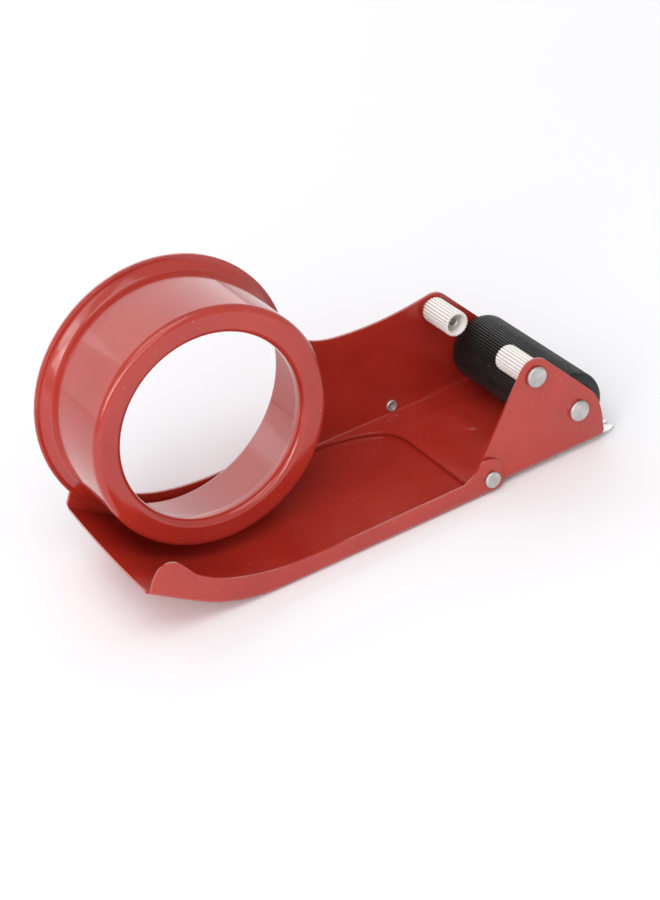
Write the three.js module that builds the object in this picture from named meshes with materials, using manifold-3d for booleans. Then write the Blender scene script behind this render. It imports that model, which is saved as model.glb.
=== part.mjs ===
// Hand-held carton-sealing tape dispenser in folded sheet steel, for 50 mm tape on a 3 inch core.
// Millimetres, +X to the cutting edge, +Y to the closed side wall, +Z up. The tray stands on Z = 0.
// Sizes along X are measured from the hub's axis. The last group moves the origin to the middle of the tool.
import * as THREE from "three";
import { mergeVertices } from "three/addons/utils/BufferGeometryUtils.js";
import Module from "manifold-3d";

const wasm = await Module();
wasm.setup();

// sheet and running gaps
const SHEET = 1;
const GAP = 0.3;
const BEND = 1.8; // outside radius of the folds

// head frame, folded from one sheet: near ear, floor and far wall
const HEAD_HALF = 28.5; // to the outside of the ears
const HEAD_UNDER = SHEET + GAP; // the head floor's underside
const HEAD_TOP = HEAD_UNDER + SHEET;
const HEAD_REAR = 68.5; // straight part of the floor's rear edge
const EAR_FRONT = 115;
const WALL_HOLE = 39.9;
const WALL_RING = 41.6;

// tray
const TRAY_HALF = 29.9;
const LUG_FRONT = 77.2;
const TRAY_FRONT = 72.3; // the floor stops short of the hinge, so that the head can tip
const TRAY_BEND_X = 1; // where the flat floor starts to curve up
const TRAY_BEND_R = 49.5; // underside
const TRAY_SLOPE = (33.5 * Math.PI) / 180;
const TRAY_REAR = -39.6;
const FLANGE = 6.3;

// axes across the tool
const HUB_Z = 42.9;
const HINGE = [73.5, 4.8];
const GUIDE_NEAR = [93.4, 31.4];
const GUIDE_FAR = [92.4, 32.5];
const ROLLER = [106.8, 13.9];

// tape hub
const HUB_R = 37.5;
const HUB_FRONT = -4.3;
const HUB_BACK = HEAD_HALF - SHEET - 0.05;
const HUB_SHOULDER = 2.3;
const HUB_FILLET = 1.6; // hollow corner between the drum and its flange
const HUB_CURL = 2.4; // rounding of the drum's back end
const FLANGE_R = 41.4; // rim of the drum's flange
const FLANGE_FLAT = 40.05; // where the flange turns flat
const FLANGE_EDGE = 0.45; // thickness of its flat rim
const FLANGE_SLOPE = THREE.MathUtils.degToRad(38); // of the part inside the flat
const LIP_R = 29;
const LIP_BEND = 2.4;

// turning pieces and what they turn on
const SLEEVE_R = 10.6;
const SLEEVE_BORE = 7.2;
const SLEEVE_HALF = 26.2;
const SLEEVE_RIBS = 48;
const CORE_BORE = 4.2;
const BUSH_BORE = 2.8;
const AXLE_R = 2.5;
const WHEEL_R = 4.1;
const WHEEL_BORE = 2.1;
const WHEEL_LENGTH = 13.6;
const WHEEL_TEETH = 24;
const WHEEL_CUP = [3.1, 3]; // radius and depth of the hollow in the inner end
const WHEEL_SPACE = 1.2; // from the ear to the wheel
const PIN_R = 1.8;

// blade
const BLADE_REAR = 99;
const BLADE_ROOT = 118.4;
const BLADE_TIP = 121.6;
const BLADE_HALF = 26.6;
const BLADE_SHEET = 0.8;
const TOOTH_PITCH = 3.8;
const BLADE_RIVETS = [
  [106.8, -17],
  [106.8, 17],
];

function material(color, metalness, roughness) {
  return new THREE.MeshStandardMaterial({ color, metalness, roughness });
}

const redPaint = () => material(0xa82a26, 0.1, 0.35);
const brightSteel = () => material(0xc8c8c6, 0.9, 0.35);
const whitePlastic = () => material(0xf2efea, 0, 0.5);
const blackPlastic = () => material(0x151515, 0, 0.55);

const root = new THREE.Group();
root.name = "tape_dispenser";
const tool = new THREE.Group();
tool.position.x = -0.5 * (BLADE_TIP - WALL_RING);
root.add(tool);

function addMesh(name, geometry, mat) {
  const mesh = new THREE.Mesh(geometry, mat);
  mesh.name = name;
  tool.add(mesh);
  return mesh;
}

function toSolid(geometry) {
  const bare = geometry.clone();
  bare.deleteAttribute("normal");
  bare.deleteAttribute("uv");
  const merged = mergeVertices(bare, 1e-4);
  const mesh = new wasm.Mesh({
    numProp: 3,
    vertProperties: Float32Array.from(merged.attributes.position.array),
    triVerts: Uint32Array.from(merged.index.array),
  });
  return new wasm.Manifold(mesh);
}

function toGeometry(solid) {
  const mesh = solid.getMesh();
  const geometry = new THREE.BufferGeometry();
  geometry.setAttribute("position", new THREE.BufferAttribute(Float32Array.from(mesh.vertProperties), 3));
  geometry.setIndex(new THREE.BufferAttribute(Uint32Array.from(mesh.triVerts), 1));
  geometry.computeVertexNormals();
  return geometry;
}

// A side outline drawn in X and Z, given its thickness between two values of Y.
function sideSlab(shape, y0, y1, curveSegments = 10) {
  const slab = new THREE.ExtrudeGeometry(shape, { depth: y1 - y0, bevelEnabled: false, curveSegments });
  slab.rotateX(Math.PI / 2);
  slab.translate(0, y1, 0);
  return slab;
}

// A plan outline drawn in X and Y, given its thickness between two values of Z.
function planSlab(shape, z0, z1, curveSegments = 10) {
  const slab = new THREE.ExtrudeGeometry(shape, { depth: z1 - z0, bevelEnabled: false, curveSegments });
  slab.translate(0, 0, z0);
  return slab;
}

// A profile of [radius, y] points turned about an axis along Y that passes through [x, z].
function turned(profile, [x, z], segments) {
  const points = profile.map(([r, y]) => new THREE.Vector2(r, y));
  const lathe = new THREE.LatheGeometry(points, segments);
  lathe.translate(x, 0, z);
  return lathe;
}

function ringProfile(inner, outer, y0, y1) {
  return [
    [inner, y0],
    [outer, y0],
    [outer, y1],
    [inner, y1],
    [inner, y0],
  ];
}

function circleShape([x, z], r) {
  const shape = new THREE.Shape();
  shape.absarc(x, z, r, 0, 2 * Math.PI, false);
  return shape;
}

function cutRound(solid, centre, r, y0, y1) {
  const hole = toSolid(sideSlab(circleShape(centre, r), y0, y1, 16));
  return solid.subtract(hole);
}

// ---- tray ----

// The folded section, drawn in Y and Z: two upright sides and the floor, with rounded folds.
function foldSection(half, under, top) {
  const inner = half - SHEET;
  const shape = new THREE.Shape();
  shape.moveTo(-half, top);
  shape.absarc(-half + BEND, under + BEND, BEND, Math.PI, 1.5 * Math.PI, false);
  shape.absarc(half - BEND, under + BEND, BEND, -0.5 * Math.PI, 0, false);
  shape.lineTo(half, top);
  shape.lineTo(inner, top);
  shape.absarc(half - BEND, under + BEND, BEND - SHEET, 0, -0.5 * Math.PI, true);
  shape.absarc(-half + BEND, under + BEND, BEND - SHEET, -0.5 * Math.PI, -Math.PI, true);
  shape.lineTo(-inner, top);
  shape.closePath();
  return shape;
}

// A section in Y and Z given its length along X.
function straightFold(section, x0, x1, steps = 1) {
  const settings = { depth: x1 - x0, steps, bevelEnabled: false, curveSegments: 5 };
  const fold = new THREE.ExtrudeGeometry(section, settings);
  fold.rotateX(Math.PI / 2);
  fold.rotateZ(Math.PI / 2);
  fold.translate(x0, 0, 0);
  return fold;
}

// How far behind the start of the rear curve each copy of the section stands, from the tail to the front.
function trayStations() {
  const curveSteps = 12;
  const curve = TRAY_BEND_R * TRAY_SLOPE;
  const stations = [curve + 24];
  for (let i = curveSteps; i >= 0; i -= 1) {
    stations.push((curve * i) / curveSteps);
  }
  stations.push(TRAY_BEND_X - LUG_FRONT - 1);
  return stations;
}

// The tray's section run straight through its stations, with the tail bent up round the rear curve.
function trayFold() {
  const stations = trayStations();
  const steps = stations.length - 1;
  const fold = straightFold(foldSection(TRAY_HALF, 0, 30), 0, steps, steps);
  const places = fold.attributes.position;
  for (let i = 0; i < places.count; i += 1) {
    const back = stations[Math.round(places.getX(i))];
    const angle = Math.min(Math.max(back, 0) / TRAY_BEND_R, TRAY_SLOPE);
    const straight = back - angle * TRAY_BEND_R;
    const r = TRAY_BEND_R - places.getZ(i);
    places.setX(i, TRAY_BEND_X - r * Math.sin(angle) - straight * Math.cos(angle));
    places.setZ(i, TRAY_BEND_R - r * Math.cos(angle) + straight * Math.sin(angle));
  }
  return toSolid(fold);
}

// The lug that carries the hinge rivet, up to where it meets the flange's level top edge.
function lugOutline(shape) {
  shape.moveTo(LUG_FRONT - 4, 0);
  shape.absarc(LUG_FRONT - 4, 4, 4, -Math.PI / 2, 0, false);
  shape.absarc(LUG_FRONT - 4.2, 7.4, 4.2, 0, 0.75 * Math.PI, false);
  shape.quadraticCurveTo(LUG_FRONT - 9, 8.1, LUG_FRONT - 13, FLANGE + 0.1);
}

function flangeShape(humpTop) {
  const shape = new THREE.Shape();
  lugOutline(shape);
  shape.lineTo(12, FLANGE - 0.1);
  if (humpTop) {
    shape.bezierCurveTo(1, 6, -16, 8.9, -24.2, 17);
    shape.bezierCurveTo(-27, 20.2, -28.4, 24.3, -32.2, 24.3);
    shape.bezierCurveTo(-36, 24.3, -37.6, 20.4, TRAY_REAR, 16.2);
  } else {
    shape.bezierCurveTo(3, 6, -10, 7.8, -17, 12.2);
    shape.quadraticCurveTo(-24, 16.2, -35.4, 20.8);
    shape.lineTo(-38.4, 15);
  }
  shape.lineTo(TRAY_REAR, -1);
  shape.lineTo(LUG_FRONT - 4, -1);
  shape.closePath();
  return shape;
}

function trayPlan() {
  const half = TRAY_HALF;
  const shape = new THREE.Shape();
  shape.moveTo(LUG_FRONT + 2, -half - 1);
  shape.lineTo(LUG_FRONT + 2, half + 1);
  shape.lineTo(TRAY_REAR + 2.6, half + 1);
  shape.quadraticCurveTo(TRAY_REAR - 0.9, -4, TRAY_REAR, -half - 1);
  shape.closePath();
  return shape;
}

function rectangle(x0, x1, y0, y1) {
  const shape = new THREE.Shape();
  shape.moveTo(x0, y0);
  shape.lineTo(x1, y0);
  shape.lineTo(x1, y1);
  shape.lineTo(x0, y1);
  shape.closePath();
  return shape;
}

function trayGeometry() {
  const half = TRAY_HALF;
  const floorHalf = half - BEND;
  const near = toSolid(sideSlab(flangeShape(true), -half - 1, -floorHalf, 12));
  const far = toSolid(sideSlab(flangeShape(false), floorHalf, half + 1, 12));
  const floor = toSolid(planSlab(rectangle(-60, TRAY_FRONT, -floorHalf, floorHalf), -2, 40));
  let solid = trayFold().intersect(near.add(far).add(floor));
  solid = solid.intersect(toSolid(planSlab(trayPlan(), -3, 45, 14)));
  const lugGap = planSlab(rectangle(TRAY_FRONT, LUG_FRONT + 1, SHEET - half, half - SHEET), -1, 5);
  solid = solid.subtract(toSolid(lugGap));
  solid = cutRound(solid, HINGE, PIN_R + 0.1, -half - 1, half + 1);
  return toGeometry(solid);
}

// ---- head frame ----

// The ears' common outline from the floor's front corner round the roller axle to the guide pin.
function earFront(shape, topEnd) {
  shape.moveTo(EAR_FRONT - 2, HEAD_UNDER);
  shape.lineTo(EAR_FRONT, HEAD_UNDER + 2);
  shape.lineTo(EAR_FRONT, 9);
  shape.quadraticCurveTo(EAR_FRONT - 0.2, 13, 113.4, 16.4);
  shape.quadraticCurveTo(112.4, 18.4, 111.2, 19.7);
  shape.absarc(GUIDE_NEAR[0], GUIDE_NEAR[1], 5.6, 0.23 * Math.PI, topEnd, false);
}

function nearEarShape() {
  const shape = new THREE.Shape();
  earFront(shape, 0.8 * Math.PI);
  shape.lineTo(HINGE[0] - 4.4, HINGE[1] + 2.6);
  shape.quadraticCurveTo(HINGE[0] - 6, HINGE[1], HINGE[0] - 4.9, HEAD_UNDER);
  shape.closePath();
  return shape;
}

function farWallShape() {
  const shape = new THREE.Shape();
  const hubArc = 0.015 * Math.PI;
  earFront(shape, 0.55 * Math.PI);
  shape.quadraticCurveTo(75, 33.8, 60, 35.5);
  shape.quadraticCurveTo(47, 36.7, WALL_RING * Math.cos(hubArc), HUB_Z + WALL_RING * Math.sin(hubArc));
  const clearOfFold = HEAD_UNDER + BEND + 0.2;
  const ringEnd = Math.PI + Math.asin((HUB_Z - clearOfFold) / WALL_RING);
  shape.absarc(0, HUB_Z, WALL_RING, hubArc, ringEnd, false);
  shape.lineTo(36, clearOfFold);
  shape.lineTo(46, HEAD_UNDER);
  shape.closePath();
  return shape;
}

function headFloorShape() {
  const half = HEAD_HALF;
  const shape = new THREE.Shape();
  shape.moveTo(EAR_FRONT, -half);
  shape.lineTo(EAR_FRONT, half);
  shape.lineTo(40, half);
  shape.bezierCurveTo(55, 25, 68, 24, HEAD_REAR, 11);
  shape.lineTo(HEAD_REAR, -half);
  shape.closePath();
  return shape;
}

function headFrameGeometry() {
  const half = HEAD_HALF;
  const fold = straightFold(foldSection(half, HEAD_UNDER, 90), -50, 120);
  const near = toSolid(sideSlab(nearEarShape(), -half - 1, -half + BEND));
  const far = toSolid(sideSlab(farWallShape(), half - BEND, half + 1, 28));
  const floor = toSolid(planSlab(headFloorShape(), HEAD_UNDER - 1, HEAD_TOP));
  let solid = toSolid(fold).intersect(near.add(far).add(floor));
  solid = cutRound(solid, [0, HUB_Z], WALL_HOLE, 0, half + 1);
  solid = cutRound(solid, HINGE, PIN_R + 0.1, -half - 1, half + 1);
  solid = cutRound(solid, GUIDE_NEAR, PIN_R + 0.1, -half - 1, 0);
  solid = cutRound(solid, GUIDE_FAR, PIN_R + 0.1, 0, half + 1);
  solid = cutRound(solid, ROLLER, AXLE_R + 0.1, -half - 1, half + 1);
  for (const centre of BLADE_RIVETS) {
    solid = solid.subtract(uprightHole(centre, 1.3));
  }
  return toGeometry(solid);
}

// ---- tape hub ----

// Points round an arc of a [radius, y] profile, for angles from the radius's own direction towards +Y.
function arcPoints(centreR, centreY, r, from, to, steps) {
  const points = [];
  for (let i = 0; i <= steps; i += 1) {
    const a = from + ((to - from) * i) / steps;
    points.push([centreR + r * Math.cos(a), centreY + r * Math.sin(a)]);
  }
  return points;
}

// A drawn cup with a turned-in front lip and a flange that lies on the side wall.
function hubProfile() {
  const right = Math.PI / 2;
  const lipEnd = HUB_FRONT + 4.6;
  const lipAt = [LIP_R + LIP_BEND, HUB_FRONT + LIP_BEND];
  const shoulderAt = [HUB_R - HUB_SHOULDER, HUB_FRONT + HUB_SHOULDER];
  const slopeFrom = HUB_R + HUB_FILLET * (1 - Math.sin(FLANGE_SLOPE));
  const slopeRise = (FLANGE_FLAT - slopeFrom) * Math.tan(FLANGE_SLOPE);
  const flatY = HUB_BACK - FLANGE_EDGE;
  const filletAt = [HUB_R + HUB_FILLET, flatY - slopeRise - HUB_FILLET * Math.cos(FLANGE_SLOPE)];
  const curlAt = [HUB_R - SHEET + HUB_CURL, HUB_BACK - HUB_CURL];
  return [
    [LIP_R, lipEnd],
    ...arcPoints(...lipAt, LIP_BEND, -2 * right, -right, 3),
    ...arcPoints(...shoulderAt, HUB_SHOULDER, -right, 0, 4),
    ...arcPoints(...filletAt, HUB_FILLET, 2 * right, right + FLANGE_SLOPE, 3),
    [FLANGE_FLAT, flatY],
    [FLANGE_R, flatY],
    [FLANGE_R, HUB_BACK],
    ...arcPoints(...curlAt, HUB_CURL, right, 2 * right, 4),
    ...arcPoints(...shoulderAt, HUB_SHOULDER - SHEET, 0, -right, 3),
    ...arcPoints(...lipAt, LIP_BEND - SHEET, -right, -2 * right, 2),
    [LIP_R + SHEET, lipEnd],
    [LIP_R, lipEnd],
  ];
}

// ---- pivots ----

// A flat-headed rivet: the head outside, the shank through the sheets and a rolled end inside.
function rivetProfile(headR, shankR, outer, grip, flareR) {
  return [
    [0, outer - 1.1],
    [headR - 0.4, outer - 1.1],
    [headR, outer - 0.7],
    [headR, outer - 0.02],
    [shankR, outer - 0.02],
    [shankR, outer + grip],
    [flareR, outer + grip],
    [flareR - 0.3, outer + grip + 0.6],
    [shankR - 0.7, outer + grip + 0.6],
    [shankR - 0.7, outer + grip - 0.6],
    [0, outer + grip - 0.6],
  ];
}

const mirrored = (profile) => profile.map(([r, y]) => [r, -y]).reverse();

function addHingeRivets() {
  const profile = rivetProfile(2.6, 1.7, -TRAY_HALF, 2.45, 2.0);
  addMesh("hinge_rivet_near", turned(profile, HINGE, 24), brightSteel());
  addMesh("hinge_rivet_far", turned(mirrored(profile), HINGE, 24), brightSteel());
  const washer = ringProfile(1.85, 3.4, -TRAY_HALF + SHEET + 0.02, -HEAD_HALF - 0.02);
  addMesh("hinge_washer_near", turned(washer, HINGE, 24), brightSteel());
  addMesh("hinge_washer_far", turned(mirrored(washer), HINGE, 24), brightSteel());
}

// ---- guide wheels ----

function splinedShape(r, depth, teeth, bore) {
  const shape = new THREE.Shape();
  const step = (2 * Math.PI) / teeth;
  for (let i = 0; i < teeth; i += 1) {
    const corners = [
      [0, r - depth],
      [0.3, r - 0.25 * depth],
      [0.5, r],
      [0.7, r - 0.25 * depth],
    ];
    for (const [part, radius] of corners) {
      const a = (i + part) * step;
      const x = radius * Math.cos(a);
      const z = radius * Math.sin(a);
      if (i === 0 && part === 0) {
        shape.moveTo(x, z);
      } else {
        shape.lineTo(x, z);
      }
    }
  }
  shape.closePath();
  const hole = new THREE.Path();
  hole.absarc(0, 0, bore, 0, 2 * Math.PI, true);
  shape.holes.push(hole);
  return shape;
}

// The wheel's inner end, the one at y1, is hollow round the end of its pin.
function guideWheelGeometry([x, z], y0, y1) {
  const outline = splinedShape(WHEEL_R, 0.4, WHEEL_TEETH, WHEEL_BORE);
  const wheel = sideSlab(outline, Math.min(y0, y1), Math.max(y0, y1), 6);
  const [cupR, cupDepth] = WHEEL_CUP;
  const inwards = Math.sign(y1 - y0);
  const cup = [y1 - inwards * cupDepth, y1 + inwards];
  wheel.translate(x, 0, z);
  return toGeometry(cutRound(toSolid(wheel), [x, z], cupR, Math.min(...cup), Math.max(...cup)));
}

function addGuideWheels() {
  const start = HEAD_HALF - SHEET - WHEEL_SPACE;
  const end = start - WHEEL_LENGTH;
  addMesh("guide_wheel_near", guideWheelGeometry(GUIDE_NEAR, -start, -end), whitePlastic());
  addMesh("guide_wheel_far", guideWheelGeometry(GUIDE_FAR, start, end), whitePlastic());
}

// The rivet each wheel turns on: a shoulder between the ear and the wheel, and a rolled end in its hollow.
function guidePinProfile() {
  const outer = -HEAD_HALF;
  const inner = outer + SHEET;
  const shoulderEnd = inner + WHEEL_SPACE - GAP;
  const end = inner + WHEEL_SPACE + WHEEL_LENGTH - WHEEL_CUP[1] + GAP;
  return [
    [0, outer - 1.2],
    [2.8, outer - 1.2],
    [3.25, outer - 0.8],
    [3.25, outer - 0.02],
    [PIN_R, outer - 0.02],
    [PIN_R, inner + 0.02],
    [3, inner + 0.02],
    [3, shoulderEnd],
    [PIN_R, shoulderEnd],
    [PIN_R, end],
    [2.6, end],
    [2.3, end + 0.7],
    [1.1, end + 0.7],
    [1.1, end - 2],
    [0, end - 2],
  ];
}

function addGuidePins() {
  const profile = guidePinProfile();
  addMesh("guide_pin_near", turned(profile, GUIDE_NEAR, 24), brightSteel());
  addMesh("guide_pin_far", turned(mirrored(profile), GUIDE_FAR, 24), brightSteel());
}

// ---- roller ----

function sleeveGeometry() {
  const half = SLEEVE_HALF;
  const ribs = new THREE.Shape();
  const step = (2 * Math.PI) / SLEEVE_RIBS;
  for (let i = 0; i < SLEEVE_RIBS; i += 1) {
    const corners = [
      [0, SLEEVE_R],
      [0.5, SLEEVE_R],
      [0.75, SLEEVE_R - 0.5],
    ];
    for (const [part, radius] of corners) {
      const a = (i + part) * step;
      const x = radius * Math.cos(a);
      const z = radius * Math.sin(a);
      if (i === 0 && part === 0) {
        ribs.moveTo(x, z);
      } else {
        ribs.lineTo(x, z);
      }
    }
  }
  ribs.closePath();
  const outline = [[SLEEVE_BORE, -half]];
  const round = 2.2;
  for (const [cy, from] of [
    [-half + round, -0.5],
    [half - round, 0],
  ]) {
    for (let i = 0; i <= 2; i += 1) {
      const a = Math.PI * (from + i / 4);
      outline.push([SLEEVE_R - round + 0.01 + round * Math.cos(a), cy + round * Math.sin(a)]);
    }
  }
  outline.push([SLEEVE_BORE, half], [SLEEVE_BORE, -half]);
  const blank = toSolid(turned(outline, [0, 0], 60));
  const ribbed = toSolid(sideSlab(ribs, -half - 1, half + 1));
  const geometry = toGeometry(ribbed.intersect(blank));
  geometry.translate(ROLLER[0], 0, ROLLER[1]);
  return geometry;
}

function addRoller() {
  const half = SLEEVE_HALF;
  addMesh("roller_sleeve", sleeveGeometry(), blackPlastic());
  const core = ringProfile(CORE_BORE, SLEEVE_BORE - 0.02, -half + 0.3, half - 0.3);
  addMesh("roller_core", turned(core, ROLLER, 40), blackPlastic());
  const bush = [
    [BUSH_BORE, -half - 0.3],
    [5.6, -half - 0.3],
    [5.6, -half + 0.28],
    [CORE_BORE - 0.02, -half + 0.28],
    [CORE_BORE - 0.02, -half + 7],
    [BUSH_BORE, -half + 7],
    [BUSH_BORE, -half - 0.3],
  ];
  addMesh("roller_bush_near", turned(bush, ROLLER, 32), whitePlastic());
  addMesh("roller_bush_far", turned(mirrored(bush), ROLLER, 32), whitePlastic());
  const washer = ringProfile(2.7, 4.6, -HEAD_HALF + SHEET + 0.02, -HEAD_HALF + SHEET + 0.65);
  addMesh("roller_washer_near", turned(washer, ROLLER, 28), brightSteel());
  addMesh("roller_washer_far", turned(mirrored(washer), ROLLER, 28), brightSteel());
  const outer = HEAD_HALF;
  const axle = [
    [0, -outer - 1.2],
    [2.9, -outer - 1.2],
    [3.3, -outer - 0.8],
    [3.3, -outer - 0.02],
    [AXLE_R, -outer - 0.02],
    [AXLE_R, outer + 0.02],
    [3.3, outer + 0.02],
    [3.3, outer + 0.8],
    [2.9, outer + 1.2],
    [0, outer + 1.2],
  ];
  addMesh("roller_axle", turned(axle, ROLLER, 28), brightSteel());
}

// ---- blade ----

function bladeShape() {
  const shape = new THREE.Shape();
  const half = BLADE_HALF;
  const count = Math.round((2 * half) / TOOTH_PITCH);
  shape.moveTo(BLADE_REAR, -half);
  shape.lineTo(BLADE_ROOT, -half);
  for (let i = 0; i < count; i += 1) {
    const y = -half + i * TOOTH_PITCH;
    shape.lineTo(BLADE_TIP, y + 0.5 * TOOTH_PITCH);
    shape.lineTo(BLADE_ROOT, y + TOOTH_PITCH);
  }
  shape.lineTo(BLADE_REAR, half);
  shape.closePath();
  return shape;
}

function uprightHole([x, y], r) {
  const hole = new THREE.CylinderGeometry(r, r, 8, 20);
  hole.rotateX(Math.PI / 2);
  hole.translate(x, y, HEAD_UNDER);
  return toSolid(hole);
}

// Low heads above the head floor and below the blade, clear of the table.
function bladeRivetGeometry([x, y]) {
  const top = HEAD_TOP + 0.02;
  const under = HEAD_UNDER - 0.04 - BLADE_SHEET;
  const profile = [
    [0, under - 0.35],
    [1.9, under - 0.35],
    [1.9, under],
    [1.2, under],
    [1.2, top],
    [2, top],
    [1.4, top + 0.45],
    [0, top + 0.5],
  ];
  const points = profile.map(([r, z]) => new THREE.Vector2(r, z));
  const geometry = new THREE.LatheGeometry(points, 20);
  geometry.rotateX(Math.PI / 2);
  geometry.translate(x, y, 0);
  return geometry;
}

function addBlade() {
  const top = HEAD_UNDER - 0.02;
  let solid = toSolid(planSlab(bladeShape(), top - BLADE_SHEET, top));
  for (const centre of BLADE_RIVETS) {
    solid = solid.subtract(uprightHole(centre, 1.3));
  }
  addMesh("blade", toGeometry(solid), brightSteel());
  addMesh("blade_rivet_near", bladeRivetGeometry(BLADE_RIVETS[0]), brightSteel());
  addMesh("blade_rivet_far", bladeRivetGeometry(BLADE_RIVETS[1]), brightSteel());
}

addMesh("tray", trayGeometry(), redPaint());
addMesh("head_frame", headFrameGeometry(), redPaint());
addMesh("tape_hub", turned(hubProfile(), [0, HUB_Z], 60), redPaint());
addHingeRivets();
addGuidePins();
addGuideWheels();
addRoller();
addBlade();

export default root;
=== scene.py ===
import math

import bpy
from mathutils import Matrix, Vector


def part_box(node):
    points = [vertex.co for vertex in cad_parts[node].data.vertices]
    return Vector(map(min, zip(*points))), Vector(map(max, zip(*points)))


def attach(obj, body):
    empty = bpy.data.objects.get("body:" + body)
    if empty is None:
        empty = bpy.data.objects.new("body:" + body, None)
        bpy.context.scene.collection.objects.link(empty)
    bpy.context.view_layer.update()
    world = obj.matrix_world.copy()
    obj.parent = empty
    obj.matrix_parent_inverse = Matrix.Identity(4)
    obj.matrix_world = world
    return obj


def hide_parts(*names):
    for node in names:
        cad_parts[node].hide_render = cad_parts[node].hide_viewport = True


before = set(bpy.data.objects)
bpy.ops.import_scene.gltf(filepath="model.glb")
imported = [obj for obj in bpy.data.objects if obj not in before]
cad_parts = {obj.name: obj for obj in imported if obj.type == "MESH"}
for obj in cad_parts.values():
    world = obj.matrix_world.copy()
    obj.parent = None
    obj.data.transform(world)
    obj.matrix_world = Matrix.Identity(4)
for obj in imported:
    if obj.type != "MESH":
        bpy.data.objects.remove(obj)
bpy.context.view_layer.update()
mm = 0.001
turnToY = (math.radians(90), 0, 0)
print("frame loaded:", len(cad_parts), "nodes")


def deselectAll():
    if bpy.context.object and bpy.context.object.mode != 'OBJECT':
        bpy.ops.object.mode_set(mode='OBJECT')
    bpy.ops.object.select_all(action='DESELECT')


def pick(piece):
    deselectAll()
    piece.select_set(True)
    bpy.context.view_layer.objects.active = piece


def applyModifier(piece, kind, **settings):
    pick(piece)
    modifier = piece.modifiers.new(kind.title(), kind)
    for key, value in settings.items():
        setattr(modifier, key, value)
    bpy.ops.object.modifier_apply(modifier=modifier.name)


def outwards(piece):
    pick(piece)
    bpy.ops.object.mode_set(mode='EDIT')
    bpy.ops.mesh.select_all(action='SELECT')
    bpy.ops.mesh.remove_doubles(threshold=0.002 * mm)
    bpy.ops.mesh.normals_make_consistent(inside=False)
    bpy.ops.object.mode_set(mode='OBJECT')


def finishPiece(piece, body, nodes, material, angle=30):
    pick(piece)
    bpy.ops.object.shade_smooth_by_angle(angle=math.radians(angle))
    piece.data.materials.clear()
    piece.data.materials.append(material)
    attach(piece, body)
    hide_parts(*nodes)
    deselectAll()


def axisOf(node):
    low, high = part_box(node)
    return (low.x + high.x) / 2, (low.z + high.z) / 2


def spanOf(node):
    low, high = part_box(node)
    return low.y, high.y


# Turned pieces are drawn out ring by ring along Y. A ring is (radius, distance from startY), both in mm.
# ends: 'capped' fills both end rings, 'joined' bridges them through the bore.
def growRings(name, axis, startY, rings, segments, ends='capped', fluting=None):
    x, z = axis
    radius, offset = rings[0]
    y = startY + offset * mm
    deselectAll()
    bpy.ops.mesh.primitive_circle_add(vertices=segments, radius=radius * mm, location=(x, y, z),
                                      rotation=turnToY)
    piece = bpy.context.object
    piece.name = name
    bpy.ops.object.transform_apply(location=True, rotation=True, scale=True)
    bpy.ops.object.mode_set(mode='EDIT')
    bpy.ops.mesh.select_all(action='SELECT')
    for nextRadius, nextOffset in rings[1:]:
        nextY = startY + nextOffset * mm
        bpy.ops.mesh.extrude_region_move(TRANSFORM_OT_translate={"value": (0, nextY - y, 0)})
        grow = nextRadius / radius
        bpy.ops.transform.resize(value=(grow, 1, grow), center_override=(x, nextY, z))
        radius, y = nextRadius, nextY
    bpy.ops.mesh.select_all(action='DESELECT')
    bpy.ops.mesh.select_mode(type='EDGE')
    bpy.ops.mesh.select_non_manifold()
    if ends == 'joined':
        bpy.ops.mesh.bridge_edge_loops()
    else:
        bpy.ops.mesh.fill_holes(sides=0)
    bpy.ops.mesh.select_mode(type='VERT')
    bpy.ops.object.mode_set(mode='OBJECT')
    if fluting:
        flute(piece, axis, segments, **fluting)
    outwards(piece)
    return piece


# Presses lengthwise grooves into a turned piece.
# depths holds, in mm, how deep each step of one rib's pitch is.
def flute(piece, axis, segments, depths, fromRadius):
    x, z = axis
    perRib = len(depths)
    for depth in sorted(set(depths) - {0}):
        pick(piece)
        bpy.ops.object.mode_set(mode='EDIT')
        bpy.ops.mesh.select_all(action='DESELECT')
        bpy.ops.object.mode_set(mode='OBJECT')
        farthest = 0
        for vertex in piece.data.vertices:
            dx, dz = vertex.co.x - x, vertex.co.z - z
            spoke = round(math.atan2(dz, dx) / (2 * math.pi) * segments)
            radius = math.hypot(dx, dz)
            vertex.select = radius > fromRadius * mm and depths[spoke % perRib] == depth
            farthest = max(farthest, radius)
        bpy.ops.object.mode_set(mode='EDIT')
        shrink = 1 - depth * mm / farthest
        bpy.ops.transform.resize(value=(shrink, 1, shrink), center_override=(x, 0, z))
        bpy.ops.object.mode_set(mode='OBJECT')


def arcRings(centreRadius, centreY, radius, start, end, steps):
    rings = []
    for i in range(steps + 1):
        angle = math.radians(start + (end - start) * i / steps)
        rings.append((centreRadius + radius * math.cos(angle), centreY + radius * math.sin(angle)))
    return rings


def newMaterial(name):
    material = bpy.data.materials.new(name)
    material.use_nodes = True
    tree = material.node_tree
    shader = tree.nodes["Principled BSDF"]
    place = tree.nodes.new("ShaderNodeTexCoord")
    return material, tree, shader, place.outputs["Object"]


def noise(tree, place, scale, detail=4.0, roughness=0.55, stretch=(1, 1, 1)):
    mapping = tree.nodes.new("ShaderNodeMapping")
    mapping.inputs["Scale"].default_value = stretch
    tree.links.new(place, mapping.inputs["Vector"])
    texture = tree.nodes.new("ShaderNodeTexNoise")
    texture.inputs["Scale"].default_value = scale
    texture.inputs["Detail"].default_value = detail
    texture.inputs["Roughness"].default_value = roughness
    tree.links.new(mapping.outputs["Vector"], texture.inputs["Vector"])
    return texture.outputs["Fac"]


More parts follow.
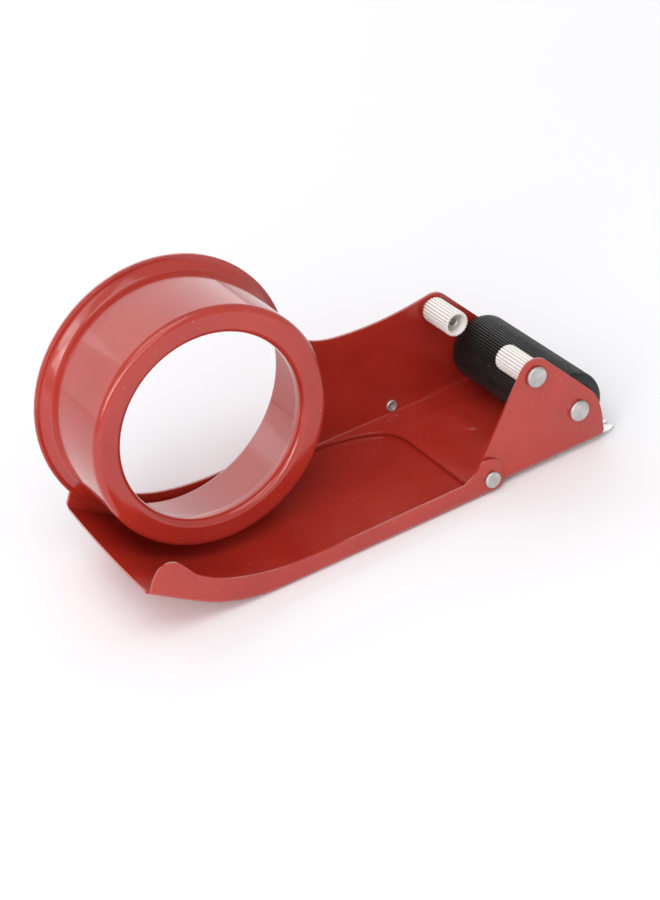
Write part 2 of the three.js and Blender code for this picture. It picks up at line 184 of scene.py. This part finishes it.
def ramp(tree, value, stops):
    node = tree.nodes.new("ShaderNodeValToRGB")
    band = node.color_ramp
    while len(band.elements) < len(stops):
        band.elements.new(0.5)
    for element, (position, colour) in zip(band.elements, stops):
        element.position = position
        element.color = colour if len(colour) == 4 else (*colour, 1)
    tree.links.new(value, node.inputs["Fac"])
    return node.outputs["Color"]


def grey(level):
    return (level, level, level, 1)


def mixColour(tree, factor, first, second, blend='MIX'):
    node = tree.nodes.new("ShaderNodeMix")
    node.data_type = 'RGBA'
    node.blend_type = blend
    for socket, value in ((node.inputs[0], factor), (node.inputs[6], first), (node.inputs[7], second)):
        if hasattr(value, "links") or isinstance(value, bpy.types.NodeSocket):
            tree.links.new(value, socket)
        else:
            socket.default_value = value
    return node.outputs[2]


def bumpFrom(tree, shader, heights):
    normal = None
    for value, strength, distance in heights:
        bump = tree.nodes.new("ShaderNodeBump")
        bump.inputs["Strength"].default_value = strength
        bump.inputs["Distance"].default_value = distance * mm
        tree.links.new(value, bump.inputs["Height"])
        if normal:
            tree.links.new(normal, bump.inputs["Normal"])
        normal = bump.outputs["Normal"]
    tree.links.new(normal, shader.inputs["Normal"])


# Where the surface turns sharply, from the shader's rounded normal against the real one.
def edgeMask(tree, radius, low, high):
    rounded = tree.nodes.new("ShaderNodeBevel")
    rounded.samples = 4
    rounded.inputs["Radius"].default_value = radius * mm
    geometry = tree.nodes.new("ShaderNodeNewGeometry")
    dot = tree.nodes.new("ShaderNodeVectorMath")
    dot.operation = 'DOT_PRODUCT'
    tree.links.new(rounded.outputs["Normal"], dot.inputs[0])
    tree.links.new(geometry.outputs["Normal"], dot.inputs[1])
    return ramp(tree, dot.outputs["Value"], [(low, grey(1)), (high, grey(0))])


# edge is the colour of the painted highlight along sharp edges.
paintLook = {
    "deep": (0.37, 0.021, 0.0135), "bright": (0.46, 0.033, 0.019), "edge": (0.55, 0.12, 0.085),
    "dust": (0.62, 0.42, 0.38), "bareMetal": (0.5, 0.46, 0.43), "roughness": (0.15, 0.25),
    "coat": 0.45, "coatRoughness": 0.035, "chipsFrom": 0.045, "chipsTo": 0.07,
}


# Gloss stove paint: slight mottling, dust nibs, a painted highlight along sharp edges as a paler colour,
# and chips along the low edges near the blade.
def redPaint():
    material, tree, shader, place = newMaterial("glossRedPaint")
    p = paintLook
    base = ramp(tree, noise(tree, place, 30, 5), [(0.3, p["deep"]), (0.72, p["bright"])])
    nibs = ramp(tree, noise(tree, place, 1500, 2, 0.4), [(0.755, grey(0)), (0.785, grey(0.5))])
    dusty = mixColour(tree, nibs, base, (*p["dust"], 1))
    # Painted highlight: sharp edges take the paler edge colour, broken up by noise.
    edges = edgeMask(tree, 0.35, 0.90, 0.985)
    edgeNoise = ramp(tree, noise(tree, place, 260, 3), [(0.4, grey(0.1)), (0.62, grey(0.7))])
    paintedEdgeHighlight = mixColour(tree, 1.0, edges, edgeNoise, 'MULTIPLY')
    edged = mixColour(tree, paintedEdgeHighlight, dusty, (*p["edge"], 1))
    axes = tree.nodes.new("ShaderNodeSeparateXYZ")
    tree.links.new(place, axes.inputs[0])
    nearBlade = ramp(tree, axes.outputs["X"], [(p["chipsFrom"], grey(0)), (p["chipsTo"], grey(1))])
    lowDown = ramp(tree, axes.outputs["Z"], [(0.003, grey(1)), (0.008, grey(0))])
    chipNoise = ramp(tree, noise(tree, place, 620, 4, 0.6), [(0.53, grey(0)), (0.56, grey(1))])
    chips = mixColour(tree, 1.0, nearBlade, lowDown, 'MULTIPLY')
    chips = mixColour(tree, 1.0, chips, chipNoise, 'MULTIPLY')
    chips = mixColour(tree, 1.0, chips, edges, 'MULTIPLY')
    colour = mixColour(tree, chips, edged, (*p["bareMetal"], 1))
    tree.links.new(colour, shader.inputs["Base Color"])
    low, high = p["roughness"]
    rough = ramp(tree, noise(tree, place, 90, 6), [(0.3, grey(low)), (0.75, grey(high))])
    tree.links.new(rough, shader.inputs["Roughness"])
    shader.inputs["Coat Weight"].default_value = p["coat"]
    shader.inputs["Coat Roughness"].default_value = p["coatRoughness"]
    finePeel = noise(tree, place, 420, 2)
    broadPeel = noise(tree, place, 55, 2)
    bumpFrom(tree, shader, [(finePeel, 0.06, 0.05), (broadPeel, 0.08, 0.12)])
    return material


def rivetSteel():
    material, tree, shader, place = newMaterial("dullRivetSteel")
    tone = ramp(tree, noise(tree, place, 350, 6), [(0.3, (0.42, 0.41, 0.40)), (0.7, (0.66, 0.65, 0.63))])
    edges = edgeMask(tree, 0.25, 0.9, 0.985)
    colour = mixColour(tree, edges, tone, (0.8, 0.79, 0.77, 1))
    tree.links.new(colour, shader.inputs["Base Color"])
    shader.inputs["Metallic"].default_value = 0.85
    rough = ramp(tree, noise(tree, place, 500, 5), [(0.3, grey(0.34)), (0.7, grey(0.52))])
    tree.links.new(rough, shader.inputs["Roughness"])
    scratches = noise(tree, place, 500, 3, 0.6, (1, 1, 7))
    bumpFrom(tree, shader, [(scratches, 0.25, 0.04), (noise(tree, place, 700, 3), 0.25, 0.06)])
    return material


def bladeSteel():
    material, tree, shader, place = newMaterial("brightBladeSteel")
    tone = ramp(tree, noise(tree, place, 200, 5), [(0.35, (0.5, 0.5, 0.49)), (0.7, (0.72, 0.72, 0.7))])
    tree.links.new(tone, shader.inputs["Base Color"])
    shader.inputs["Metallic"].default_value = 1.0
    rough = ramp(tree, noise(tree, place, 260, 5), [(0.3, grey(0.2)), (0.7, grey(0.36))])
    tree.links.new(rough, shader.inputs["Roughness"])
    bumpFrom(tree, shader, [(noise(tree, place, 350, 4, 0.6, (1, 12, 1)), 0.2, 0.03)])
    return material


# How deep in a groove or corner the surface lies, 1 in the open and 0 shut in.
def openness(tree, distance):
    node = tree.nodes.new("ShaderNodeAmbientOcclusion")
    node.samples = 8
    node.inputs["Distance"].default_value = distance * mm
    return node.outputs["AO"]


def whitePlastic():
    material, tree, shader, place = newMaterial("whiteWheelPlastic")
    base = ramp(tree, noise(tree, place, 120, 4), [(0.3, (0.86, 0.83, 0.79)), (0.7, (0.92, 0.90, 0.87))])
    # Painted shade: grooves and corners are darkened towards reddish brown by occlusion.
    paintedGrooveShade = ramp(tree, openness(tree, 0.7), [(0.35, grey(0.85)), (0.8, grey(0))])
    colour = mixColour(tree, paintedGrooveShade, base, (0.40, 0.29, 0.255, 1))
    tree.links.new(colour, shader.inputs["Base Color"])
    rough = ramp(tree, noise(tree, place, 300, 4), [(0.3, grey(0.4)), (0.7, grey(0.58))])
    tree.links.new(rough, shader.inputs["Roughness"])
    bumpFrom(tree, shader, [(noise(tree, place, 600, 3), 0.15, 0.04)])
    return material


def blackRubber():
    material, tree, shader, place = newMaterial("blackRibbedRubber")
    base = ramp(tree, noise(tree, place, 160, 5),
                [(0.3, (0.010, 0.010, 0.011)), (0.75, (0.022, 0.021, 0.021))])
    groove = ramp(tree, openness(tree, 0.6), [(0.35, grey(1)), (0.85, grey(0))])
    shaded = mixColour(tree, groove, base, (0.002, 0.002, 0.002, 1))
    dust = ramp(tree, noise(tree, place, 1300, 2, 0.4), [(0.745, grey(0)), (0.775, grey(0.6))])
    colour = mixColour(tree, dust, shaded, (0.4, 0.38, 0.36, 1))
    tree.links.new(colour, shader.inputs["Base Color"])
    rough = ramp(tree, noise(tree, place, 240, 5), [(0.3, grey(0.36)), (0.75, grey(0.5))])
    tree.links.new(rough, shader.inputs["Roughness"])
    bumpFrom(tree, shader, [(noise(tree, place, 900, 4), 0.2, 0.05)])
    return material


def blackPlastic():
    material, tree, shader, place = newMaterial("blackCorePlastic")
    base = ramp(tree, noise(tree, place, 200, 4), [(0.3, (0.012, 0.012, 0.013)), (0.7, (0.03, 0.03, 0.03))])
    tree.links.new(base, shader.inputs["Base Color"])
    rough = ramp(tree, noise(tree, place, 300, 4), [(0.3, grey(0.35)), (0.7, grey(0.5))])
    tree.links.new(rough, shader.inputs["Roughness"])
    bumpFrom(tree, shader, [(noise(tree, place, 500, 3), 0.15, 0.04)])
    return material


paint = redPaint()
steel = rivetSteel()
brightSteel = bladeSteel()
white = whitePlastic()
rubber = blackRubber()
corePlastic = blackPlastic()
print("materials made")


sheetLook = {"edge": 0.28, "edgeSteps": 3, "edgeAngle": 38}


# The frame's own sheet, copied, cleaned and given the soft edges that paint leaves.
def paintedSheet(name, node, body):
    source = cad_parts[node]
    pick(source)
    bpy.ops.object.duplicate()
    piece = bpy.context.object
    piece.name = name
    for key in list(piece.keys()):
        del piece[key]
    piece.parent = None
    bpy.ops.object.mode_set(mode='EDIT')
    bpy.ops.mesh.select_all(action='SELECT')
    bpy.ops.mesh.remove_doubles(threshold=0.004 * mm)
    bpy.ops.mesh.dissolve_limited(angle_limit=math.radians(0.4), delimit=set())
    bpy.ops.object.mode_set(mode='OBJECT')
    applyModifier(piece, 'BEVEL', width=sheetLook["edge"] * mm, segments=sheetLook["edgeSteps"],
                  limit_method='ANGLE', angle_limit=math.radians(sheetLook["edgeAngle"]),
                  use_clamp_overlap=True, harden_normals=False)
    applyModifier(piece, 'WEIGHTED_NORMAL', keep_sharp=True, weight=60)
    finishPiece(piece, body, [node], paint, 40)
    return piece


paintedSheet("traySheet", "tray", "tray_body")
paintedSheet("headSheet", "head_frame", "head")
print("sheets done")


hubShape = {
    "radius": 37.5, "lipRadius": 29.0, "lipBend": 2.4, "lipDepth": 4.6, "shoulder": 2.3, "fillet": 1.6,
    "slope": 38, "flatFrom": 40.05, "flatBend": 1.2, "flange": 41.4, "flangeEdge": 0.45, "curl": 2.4,
    "sheet": 1.0, "segments": 160,
}


def tapeHub():
    low, high = spanOf("tape_hub")
    h = hubShape
    length = (high - low) / mm
    lip = (h["lipRadius"] + h["lipBend"], h["lipBend"])
    shoulder = (h["radius"] - h["shoulder"], h["shoulder"])
    slope = math.radians(h["slope"])
    flat = length - h["flangeEdge"]
    slopeFrom = h["radius"] + h["fillet"] * (1 - math.sin(slope))
    filletAt = flat - (h["flatFrom"] - slopeFrom) * math.tan(slope) - h["fillet"] * math.cos(slope)
    bendAt = h["flatFrom"] + h["flatBend"] * math.tan(slope / 2)
    inner = h["radius"] - h["sheet"]
    rings = [(h["lipRadius"], h["lipDepth"] - 0.1)]
    rings += arcRings(*lip, h["lipBend"], 180, 270, 10)
    rings += arcRings(*shoulder, h["shoulder"], -90, 0, 10)
    rings += arcRings(h["radius"] + h["fillet"], filletAt, h["fillet"], 180, 90 + h["slope"], 8)
    rings += arcRings(bendAt, flat - h["flatBend"], h["flatBend"], 90 + h["slope"], 90, 4)
    rings += [(h["flange"] - 0.12, flat), (h["flange"], flat + 0.12), (h["flange"], length - 0.08)]
    rings += [(h["flange"] - 0.08, length)]
    rings += arcRings(inner + h["curl"], length - h["curl"], h["curl"], 90, 180, 10)
    rings += arcRings(*shoulder, h["shoulder"] - h["sheet"], 0, -90, 8)
    rings += arcRings(*lip, h["lipBend"] - h["sheet"], 270, 180, 8)
    rings += [(h["lipRadius"] + h["sheet"], h["lipDepth"] - 0.1)]
    rings += [(h["lipRadius"] + h["sheet"] / 2, h["lipDepth"])]
    piece = growRings("hubDrum", axisOf("tape_hub"), low, rings, h["segments"], ends='joined')
    applyModifier(piece, 'BEVEL', width=0.12 * mm, segments=2, limit_method='ANGLE',
                  angle_limit=math.radians(40))
    finishPiece(piece, "head", ["tape_hub"], paint, 35)
    return piece


tapeHub()
print("hub done")


def flatHead(headRadius, headHeight):
    return [(0.4, 0), (headRadius - 0.9, 0.02), (headRadius - 0.45, 0.06), (headRadius - 0.18, 0.2),
            (headRadius, 0.5), (headRadius - 0.05, headHeight)]


def mirrorRings(rings, length):
    return [(r, length - y) for r, y in rings]


rivetShape = {
    "segments": 48, "hingeHead": 2.6, "hingeShank": 1.7, "headHeight": 1.08,
    "bigHead": 3.25, "bigHeadHeight": 1.18, "axleHead": 3.3, "axle": 2.5,
}


def hingeRivet(name, node, far):
    low, high = spanOf(node)
    length = (high - low) / mm
    r = rivetShape
    shank = r["hingeShank"]
    rings = flatHead(r["hingeHead"], r["headHeight"])
    rings += [(shank, r["headHeight"]), (shank, length - 0.62), (1.98, length - 0.58), (2.0, length - 0.3)]
    rings += [(1.72, length), (1.3, length - 0.05), (1.05, length - 0.4), (0.98, length - 1.1)]
    rings += [(0.3, length - 1.1)]
    if far:
        rings = mirrorRings(rings, length)
    piece = growRings(name, axisOf(node), low, rings, r["segments"])
    finishPiece(piece, "tray_body", [node], steel)


hingeRivet("hingeRivetNear", "hinge_rivet_near", False)
hingeRivet("hingeRivetFar", "hinge_rivet_far", True)


def washer(name, node, body, bore, outside):
    low, high = spanOf(node)
    t = (high - low) / mm
    edge = min(0.15, 0.3 * t)
    rings = [(bore, 0), (outside - edge, 0), (outside, edge), (outside, t - edge)]
    rings += [(outside - edge, t), (bore, t)]
    piece = growRings(name, axisOf(node), low, rings, 48, ends='joined')
    finishPiece(piece, body, [node], steel)


hingeWasher = (1.85, 3.4)
rollerWasher = (2.7, 4.6)
washer("hingeWasherNear", "hinge_washer_near", "tray_body", *hingeWasher)
washer("hingeWasherFar", "hinge_washer_far", "tray_body", *hingeWasher)
washer("rollerWasherNear", "roller_washer_near", "head", *rollerWasher)
washer("rollerWasherFar", "roller_washer_far", "head", *rollerWasher)


pinShape = {
    "shank": 1.8, "shoulder": 3.0, "shoulderStart": 2.22, "shoulderEnd": 3.1,
    "flare": 2.6, "eye": 1.1, "eyeDepth": 2.7,
}


def guidePin(name, node, far):
    low, high = spanOf(node)
    length = (high - low) / mm
    s = pinShape
    shank, shoulder, flare, eye = s["shank"], s["shoulder"], s["flare"], s["eye"]
    headEnd = rivetShape["bigHeadHeight"]
    eyeEnd = length - s["eyeDepth"]
    rings = flatHead(rivetShape["bigHead"], headEnd)
    rings += [(shank, headEnd), (shank, s["shoulderStart"]), (shoulder, s["shoulderStart"])]
    rings += [(shoulder, s["shoulderEnd"]), (shank, s["shoulderEnd"]), (shank, length - 0.72)]
    rings += [(flare - 0.1, length - 0.7), (flare, length - 0.5), (flare - 0.25, length - 0.12)]
    rings += [(1.95, length), (1.5, length - 0.1), (eye + 0.1, length - 0.45)]
    rings += [(eye, eyeEnd + 0.1), (0.3, eyeEnd)]
    if far:
        rings = mirrorRings(rings, length)
    piece = growRings(name, axisOf(node), low, rings, rivetShape["segments"])
    finishPiece(piece, "head", [node], steel)


guidePin("guidePinNear", "guide_pin_near", False)
guidePin("guidePinFar", "guide_pin_far", True)


def rollerAxle():
    low, high = spanOf("roller_axle")
    length = (high - low) / mm
    r = rivetShape
    half = flatHead(r["axleHead"], r["bigHeadHeight"])
    half += [(r["axle"], r["bigHeadHeight"]), (r["axle"], length / 2)]
    rings = half + mirrorRings(half[:-1], length)[::-1]
    piece = growRings("rollerAxleRod", axisOf("roller_axle"), low, rings, r["segments"])
    finishPiece(piece, "head", ["roller_axle"], steel)


rollerAxle()
print("rivets, pins and axle done")


wheelShape = {
    "radius": 4.1, "bore": 2.1, "cup": 3.12, "cupDepth": 2.9, "teeth": 24,
    "groove": (0.42, 0.3, 0.06, 0, 0, 0, 0.06, 0.3),
}


# The inner end is a deep cup round the pin's rolled end, the outer end is nearly flat.
def guideWheel(name, node, body, far):
    w = wheelShape
    low, high = spanOf(node)
    length = (high - low) / mm
    tip, bore, cup, depth = w["radius"], w["bore"], w["cup"], w["cupDepth"]
    floor = length - depth
    rings = [(bore, length / 2), (bore, 0.3), (bore + 0.3, 0.03), (2.9, 0), (3.45, 0.02)]
    rings += [(tip - 0.3, 0.12), (tip - 0.06, 0.32), (tip, 0.6), (tip, length / 2), (tip, length - 0.6)]
    rings += [(tip - 0.06, length - 0.3), (tip - 0.25, length - 0.08), (cup + 0.35, length)]
    rings += [(cup + 0.1, length - 0.06), (cup, length - 0.3), (cup - 0.04, floor + 0.35)]
    rings += [(cup - 0.3, floor), (bore + 0.15, floor - 0.02), (bore, floor - 0.2)]
    if far:
        rings = mirrorRings(rings, length)
    fluting = {"depths": w["groove"], "fromRadius": cup + 0.45}
    segments = w["teeth"] * len(w["groove"])
    piece = growRings(name, axisOf(node), low, rings, segments, ends='joined', fluting=fluting)
    finishPiece(piece, body, [node], white, 28)
    return piece


guideWheel("guideWheelNear", "guide_wheel_near", "wheel_near", False)
guideWheel("guideWheelFar", "guide_wheel_far", "wheel_far", True)
print("guide wheels done")


rollerShape = {
    "radius": 10.6, "bore": 7.3, "round": 2.2, "ribs": 72, "groove": (0.45, 0.36, 0.04, 0, 0.04, 0.36),
    "coreBore": 4.2, "coreOutside": 7.0, "bushBore": 2.8, "bushFlange": 5.6, "bushFlangeEnd": 0.58,
    "bushSpigot": 4.18,
}


def rollerSleeve():
    s = rollerShape
    low, high = spanOf("roller_sleeve")
    length = (high - low) / mm
    corner = arcRings(s["radius"] - s["round"], s["round"], s["round"], -90, 0, 8)
    half = [(s["bore"], length / 2), (s["bore"], 0.25), (s["bore"] + 0.2, 0.04)] + corner
    rings = half + mirrorRings(half[1:], length)[::-1]
    fluting = {"depths": s["groove"], "fromRadius": s["radius"] - s["round"] + 0.5}
    segments = s["ribs"] * len(s["groove"])
    piece = growRings("sleeveRubber", axisOf("roller_sleeve"), low, rings, segments, ends='joined',
                      fluting=fluting)
    finishPiece(piece, "roller", ["roller_sleeve"], rubber, 24)


def rollerCore():
    low, high = spanOf("roller_core")
    length = (high - low) / mm
    bore, outside = rollerShape["coreBore"], rollerShape["coreOutside"]
    half = [(bore, length / 2), (bore, 0.3), (bore + 0.25, 0), (outside - 0.3, 0), (outside, 0.25)]
    rings = half + mirrorRings(half[1:], length)[::-1]
    piece = growRings("coreTube", axisOf("roller_core"), low, rings, 64, ends='joined')
    finishPiece(piece, "roller", ["roller_core"], corePlastic)


def rollerBush(name, node, far):
    low, high = spanOf(node)
    length = (high - low) / mm
    s = rollerShape
    bore, flange, spigot = s["bushBore"], s["bushFlange"], s["bushSpigot"]
    flangeEnd = s["bushFlangeEnd"]
    rings = [(bore, 0.2), (bore + 0.2, 0), (flange - 0.2, 0), (flange, 0.2), (flange, flangeEnd)]
    rings += [(spigot, flangeEnd), (spigot, length - 0.3), (spigot - 0.18, length), (bore, length)]
    if far:
        rings = mirrorRings(rings, length)
    piece = growRings(name, axisOf(node), low, rings, 48, ends='joined')
    finishPiece(piece, "roller", [node], corePlastic)


rollerSleeve()
rollerCore()
rollerBush("rollerBushNear", "roller_bush_near", False)
rollerBush("rollerBushFar", "roller_bush_far", True)
print("roller done")


bladeCut = {"tooth": 3.8, "depth": 3.2, "grind": 0.62, "thickness": 0.8, "edge": 0.06}


def serratedBlade():
    b = bladeCut
    low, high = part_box("blade")
    teeth = round((high.y - low.y) / (b["tooth"] * mm))
    middle = (low + high) / 2
    deselectAll()
    bpy.ops.mesh.primitive_grid_add(x_subdivisions=6, y_subdivisions=2 * teeth, size=1,
                                    location=(middle.x, middle.y, high.z))
    piece = bpy.context.object
    piece.name = "bladeStrip"
    root = high.x - b["depth"] * mm
    piece.scale = (root - low.x, high.y - low.y, 1)
    piece.location.x = (low.x + root) / 2
    bpy.ops.object.transform_apply(location=True, rotation=True, scale=True)
    step = (high.y - low.y) / (2 * teeth)
    for vertex in piece.data.vertices:
        row = round((vertex.co.y - low.y) / step)
        atFront = vertex.co.x > root - 0.01 * mm
        vertex.select = bool(atFront and row % 2)
    for edge in piece.data.edges:
        edge.select = False
    for face in piece.data.polygons:
        face.select = False
    bpy.ops.object.mode_set(mode='EDIT')
    bpy.ops.transform.translate(value=(high.x - root, 0, 0))
    bpy.ops.mesh.select_all(action='SELECT')
    bpy.ops.mesh.extrude_region_move(TRANSFORM_OT_translate={"value": (0, 0, -b["thickness"] * mm)})
    bpy.ops.object.mode_set(mode='OBJECT')
    # The teeth are ground thin from above.
    for vertex in piece.data.vertices:
        if vertex.co.x > root + 0.5 * mm and vertex.co.z > high.z - 0.01 * mm:
            vertex.co.z -= b["grind"] * mm
    outwards(piece)
    applyModifier(piece, 'BEVEL', width=b["edge"] * mm, segments=1, limit_method='ANGLE',
                  angle_limit=math.radians(50))
    finishPiece(piece, "head", ["blade"], brightSteel, 20)


serratedBlade()


bladeRivetShape = {"shank": 1.2, "headGrow": 1.6, "headTaper": 0.92, "upperHead": 0.35, "lowerHead": 0.25,
                   "shortBy": 0.9, "lowerBy": 0.06}


def bladeRivet(name, node):
    s = bladeRivetShape
    low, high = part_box(node)
    middle = (low + high) / 2
    deselectAll()
    bpy.ops.mesh.primitive_cylinder_add(vertices=32, radius=s["shank"] * mm,
                                        depth=high.z - low.z - s["shortBy"] * mm,
                                        location=(middle.x, middle.y, middle.z - s["lowerBy"] * mm))
    piece = bpy.context.object
    piece.name = name
    bpy.ops.object.transform_apply(location=True, rotation=True, scale=True)
    bpy.ops.object.mode_set(mode='EDIT')
    for upper in (True, False):
        bpy.ops.mesh.select_all(action='DESELECT')
        bpy.ops.object.mode_set(mode='OBJECT')
        for face in piece.data.polygons:
            face.select = face.normal.z > 0.9 if upper else face.normal.z < -0.9
        bpy.ops.object.mode_set(mode='EDIT')
        bpy.ops.mesh.extrude_region_move(TRANSFORM_OT_translate={"value": (0, 0, 0)})
        bpy.ops.transform.resize(value=(s["headGrow"], s["headGrow"], 1))
        rise = s["upperHead"] * mm if upper else -s["lowerHead"] * mm
        bpy.ops.mesh.extrude_region_move(TRANSFORM_OT_translate={"value": (0, 0, rise)})
        bpy.ops.transform.resize(value=(s["headTaper"], s["headTaper"], 1))
    bpy.ops.object.mode_set(mode='OBJECT')
    outwards(piece)
    applyModifier(piece, 'BEVEL', width=0.12 * mm, segments=2, limit_method='ANGLE',
                  angle_limit=math.radians(50))
    finishPiece(piece, "head", [node], steel)


bladeRivet("bladeRivetNear", "blade_rivet_near")
bladeRivet("bladeRivetFar", "blade_rivet_far")
print("blade done")


roomLook = {
    "floor": (0.94, 0.935, 0.96), "floorPatch": (0.955, 0.95, 0.97),
    "world": (1.0, 1.0, 1.0), "worldStrength": 0.58,
}


def paleFloor():
    deselectAll()
    bpy.ops.mesh.primitive_plane_add(size=6, location=(0, 0, 0))
    floor = bpy.context.object
    floor.name = "paleFloor"
    material, tree, shader, place = newMaterial("palePaper")
    tone = ramp(tree, noise(tree, place, 3, 3), [(0.3, roomLook["floor"]), (0.7, roomLook["floorPatch"])])
    tree.links.new(tone, shader.inputs["Base Color"])
    shader.inputs["Roughness"].default_value = 0.8
    shader.inputs["Specular IOR Level"].default_value = 0.2
    floor.data.materials.append(material)


# Studio panels, each aimed at a point. Brightness is how bright a panel's face looks, whatever its size.
panels = {
    "topPanel": {
        "place": (-0.15, -0.35, 0.95), "aim": (0, 0, 0), "size": (0.9, 0.6), "brightness": 1.7,
    },
    "frontPanel": {
        "place": (-0.35, -1.0, 0.6), "aim": (0, 0, 0.04), "size": (0.8, 0.5), "brightness": 1.6,
    },
    "leftPanel": {
        "place": (-0.75, -0.45, 0.32), "aim": (0, 0, 0.04), "size": (0.4, 0.25), "brightness": 3.6,
    },
    "keyPanel": {
        "place": (-0.85, -0.8, 0.62), "aim": (0, 0, 0.04), "size": (0.7, 0.4), "brightness": 3.0,
    },
    "rightBackdrop": {
        "place": (0.28, 0.8, 0.47), "aim": (0.28, 0, 0.47), "size": (1.56, 0.8), "brightness": 1.1,
    },
    "leftBackdrop": {
        "place": (-0.80, 0.8, 0.32), "aim": (-0.5, 0, 0.25), "size": (0.8, 0.6), "brightness": 0.68,
    },
}


def softPanel(name, place, aim, size, brightness):
    light = bpy.data.lights.new(name, 'AREA')
    light.shape = 'RECTANGLE'
    light.size, light.size_y = size
    light.energy = brightness * math.pi * size[0] * size[1]
    holder = bpy.data.objects.new(name, light)
    bpy.context.scene.collection.objects.link(holder)
    holder.location = place
    holder.rotation_euler = (Vector(aim) - Vector(place)).to_track_quat('-Z', 'Y').to_euler()
    holder.visible_camera = False


paleFloor()
for name, panel in panels.items():
    softPanel(name, **panel)

world = bpy.data.worlds.new("softRoom")
bpy.context.scene.world = world
world.use_nodes = True
world.node_tree.nodes["Background"].inputs["Color"].default_value = (*roomLook["world"], 1)
world.node_tree.nodes["Background"].inputs["Strength"].default_value = roomLook["worldStrength"]

cameraLook = {
    "azimuth": -25.3, "elevation": 31.6, "roll": -9.7, "place": (-0.2739, -0.5727, 0.4071),
    "lens": 100.0, "sensor": 36,
}


def addCamera():
    c = cameraLook
    azimuth, elevation, roll = (math.radians(c[k]) for k in ("azimuth", "elevation", "roll"))
    back = Vector((math.sin(azimuth) * math.cos(elevation), -math.cos(azimuth) * math.cos(elevation),
                   math.sin(elevation)))
    right = (-back).cross(Vector((0, 0, 1))).normalized()
    up = right.cross(-back)
    tiltedRight = right * math.cos(roll) + up * math.sin(roll)
    tiltedUp = up * math.cos(roll) - right * math.sin(roll)
    data = bpy.data.cameras.new("mainCamera")
    data.lens = c["lens"]
    data.sensor_width = c["sensor"]
    camera = bpy.data.objects.new("mainCamera", data)
    bpy.context.scene.collection.objects.link(camera)
    camera.matrix_world = Matrix((
        (tiltedRight.x, tiltedUp.x, back.x, c["place"][0]),
        (tiltedRight.y, tiltedUp.y, back.y, c["place"][1]),
        (tiltedRight.z, tiltedUp.z, back.z, c["place"][2]),
        (0, 0, 0, 1)))
    bpy.context.scene.camera = camera


addCamera()
bpy.context.scene.view_settings.view_transform = 'Standard'
print("room done")
